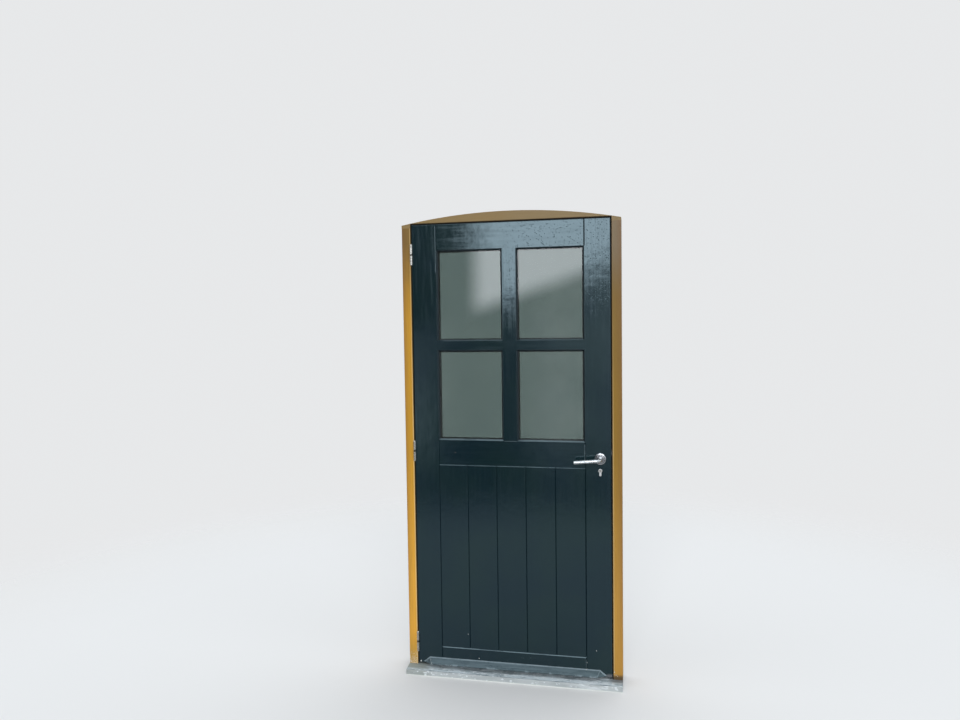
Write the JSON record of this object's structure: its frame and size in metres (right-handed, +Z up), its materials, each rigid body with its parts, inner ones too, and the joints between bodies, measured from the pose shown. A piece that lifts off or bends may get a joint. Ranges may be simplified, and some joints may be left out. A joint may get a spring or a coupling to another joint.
{
  "type": "half-glazed stable door with its frame",
  "caption": "Unsplit half-glazed stable door in its timber frame: cross-barred panes above a lock rail, vertical boards below, a sloping weatherboard and a stone threshold.",
  "frame": {"origin": "on the underside of the threshold, midway across the door, in the plane of the outside face of the frame and of the closed leaf", "axes": "+X across the door towards the lock side, +Y from outside into the building, +Z up"},
  "size_m": [1.026, 0.178, 2.2059],
  "materials": {
    "leaf_paint": "gloss",
    "frame_paint": "satin",
    "threshold_stone": "matte",
    "pane_glass": "polished",
    "spacer_aluminium": "satin",
    "seal_rubber": "matte",
    "hinge_metal": "satin",
    "screw_steel": "satin",
    "lever_metal": "satin",
    "cylinder_metal": "satin",
    "lock_steel": "satin"
  },
  "bodies": {
    "frame": {"jamb_hinge_side": "frame_paint", "jamb_lock_side": "frame_paint", "frame_head": "frame_paint", "threshold": "threshold_stone", "seal_hinge_side": "seal_rubber", "seal_lock_side": "seal_rubber", "seal_head": "seal_rubber", "strike_plate": "lock_steel", "frame_screws": "screw_steel", "hinge_pins": "hinge_metal", "hinge_frame_bottom": "hinge_metal", "hinge_frame_middle": "hinge_metal", "hinge_frame_top": "hinge_metal"},
    "leaf": {"stile_hinge_side": "leaf_paint", "stile_lock_side": "leaf_paint", "bottom_rail": "leaf_paint", "lock_rail": "leaf_paint", "top_rail": "leaf_paint", "muntin_upright": "leaf_paint", "muntin_cross_left": "leaf_paint", "muntin_cross_right": "leaf_paint", "weatherboard": "leaf_paint", "board_1": "leaf_paint", "board_2": "leaf_paint", "board_3": "leaf_paint", "board_4": "leaf_paint", "board_5": "leaf_paint", "pane_outer_upper_left": "pane_glass", "pane_inner_upper_left": "pane_glass", "pane_spacer_upper_left": "spacer_aluminium", "glazing_bead_upper_left": "leaf_paint", "pane_outer_upper_right": "pane_glass", "pane_inner_upper_right": "pane_glass", "pane_spacer_upper_right": "spacer_aluminium", "glazing_bead_upper_right": "leaf_paint", "pane_outer_lower_left": "pane_glass", "pane_inner_lower_left": "pane_glass", "pane_spacer_lower_left": "spacer_aluminium", "glazing_bead_lower_left": "leaf_paint", "pane_outer_lower_right": "pane_glass", "pane_inner_lower_right": "pane_glass", "pane_spacer_lower_right": "spacer_aluminium", "glazing_bead_lower_right": "leaf_paint", "hinge_leaf_bottom": "hinge_metal", "hinge_leaf_middle": "hinge_metal", "hinge_leaf_top": "hinge_metal", "leaf_screws": "screw_steel", "lock_case": "lock_steel", "lock_forend": "lock_steel", "cylinder_body": "cylinder_metal", "cylinder_screw": "screw_steel", "rose_outside": "lever_metal", "rose_inside": "lever_metal"},
    "levers": {"lever_outside": "lever_metal", "lever_inside": "lever_metal", "spindle": "lock_steel", "follower": "lock_steel"},
    "latch": {"latch_bolt": "lock_steel"},
    "dead_bolt": {"dead_bolt": "lock_steel"},
    "cylinder_plug": {"cylinder_plug": "cylinder_metal"}
  },
  "joints": [
    {"name": "leaf_swing", "type": "hinge", "parent": "frame", "child": "leaf", "pos_m": [-0.4665, -0.006, 1.081], "axis": [0, 0, -1], "range_deg": [0, 110]},
    {"name": "lever_turn", "type": "hinge", "parent": "leaf", "child": "levers", "pos_m": [0.415, 0.02, 1.061], "axis": [0, -1, 0], "range_deg": [0, 40], "stiffness_Nm_per_rad": 1.5, "springref_deg": -34.38},
    {"name": "latch_slide", "type": "slide", "parent": "leaf", "child": "latch", "axis": [-1, 0, 0], "range_m": [0, 0.012]},
    {"name": "key_turn", "type": "hinge", "parent": "leaf", "child": "cylinder_plug", "pos_m": [0.415, 0.02, 1.006], "axis": [0, -1, 0], "range_deg": [0, 360]},
    {"name": "dead_bolt_slide", "type": "slide", "parent": "leaf", "child": "dead_bolt", "axis": [1, 0, 0], "range_m": [0, 0.02]}
  ],
  "couplings": [
    {"joint": "latch_slide", "follows": "lever_turn", "m_per_rad": 0.017189},
    {"joint": "key_turn", "follows": "dead_bolt_slide", "rad_per_m": 314.16}
  ]
}
